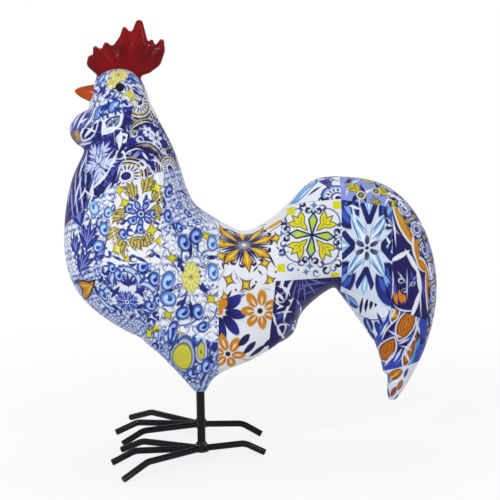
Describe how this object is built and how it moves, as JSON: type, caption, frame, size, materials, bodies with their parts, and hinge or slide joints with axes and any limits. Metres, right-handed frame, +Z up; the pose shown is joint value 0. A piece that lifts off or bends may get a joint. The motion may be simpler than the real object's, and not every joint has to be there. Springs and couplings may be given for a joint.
{
  "type": "rooster figurine",
  "caption": "Free-standing rooster figurine: a cast body in glossy tile patchwork with red comb, orange beak and bead eyes, on black rod legs with bent, welded toes.",
  "frame": {"origin": "on the floor, under the middle of the figure's length and width", "axes": "+Z up, the beak points to -X, the rooster's left side is -Y"},
  "size_m": [0.2574, 0.1432, 0.2994],
  "materials": {
    "patchwork_glaze": "cast resin, printed blue, white and yellow tile patchwork under a gloss clear coat",
    "comb_enamel": "gloss dark red enamel",
    "beak_enamel": "gloss orange enamel",
    "eye_bead": "gloss black bead",
    "leg_coat": "satin black coat on steel rod"
  },
  "bodies": {
    "root": {"body": "patchwork_glaze", "comb": "comb_enamel", "beak": "beak_enamel", "left_eye": "eye_bead", "right_eye": "eye_bead", "left_leg_rod": "leg_coat", "right_leg_rod": "leg_coat", "left_outer_toe": "leg_coat", "left_middle_toe": "leg_coat", "left_inner_toe": "leg_coat", "left_rear_toe": "leg_coat", "left_foot_weld": "leg_coat", "right_outer_toe": "leg_coat", "right_middle_toe": "leg_coat", "right_inner_toe": "leg_coat", "right_rear_toe": "leg_coat", "right_foot_weld": "leg_coat"}
  },
  "joints": []
}
